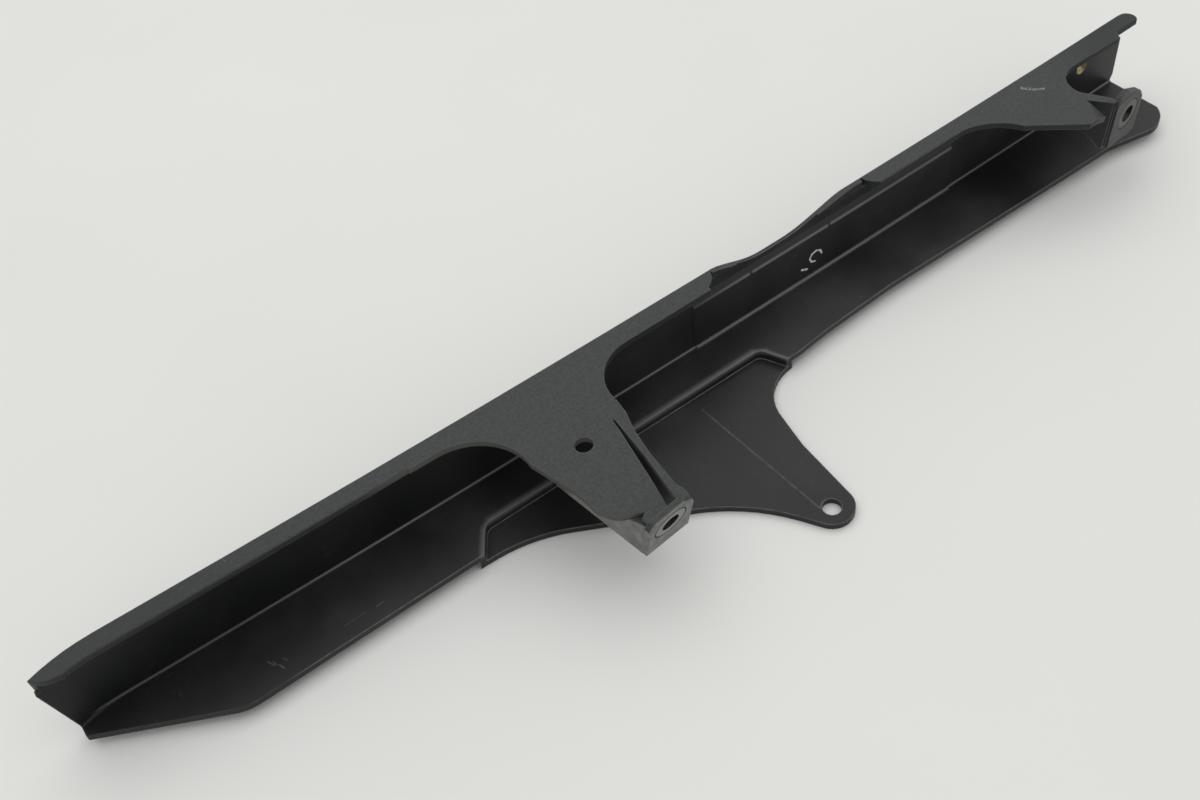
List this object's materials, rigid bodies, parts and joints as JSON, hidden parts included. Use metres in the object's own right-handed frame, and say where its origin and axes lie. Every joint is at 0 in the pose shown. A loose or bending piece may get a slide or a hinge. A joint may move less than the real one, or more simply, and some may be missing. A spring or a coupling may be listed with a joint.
{
  "type": "motorcycle chain guard",
  "caption": "Moulded plastic chain guard: an open channel that covers the chain's upper run, with bracket arms, a stepped tab and bolt holes.",
  "frame": {"origin": "in the middle of the front collar's bore, which the guard is bolted up by", "axes": "+X along the guard from its front tip to its rear end, +Y toward the closed spine, +Z from the side panel toward the flange"},
  "size_m": [0.4842, 0.0984, 0.0406],
  "materials": {
    "moulding": "black moulded plastic, finely grained outside and satin inside, scuffed grey at the bracket faces",
    "collar": "dull grey, scuffed",
    "brass": "dull brass"
  },
  "bodies": {
    "root": {"chain_guard": "moulding", "front_collar": "collar", "rear_collar": "collar", "brass_insert": "brass"}
  },
  "joints": []
}
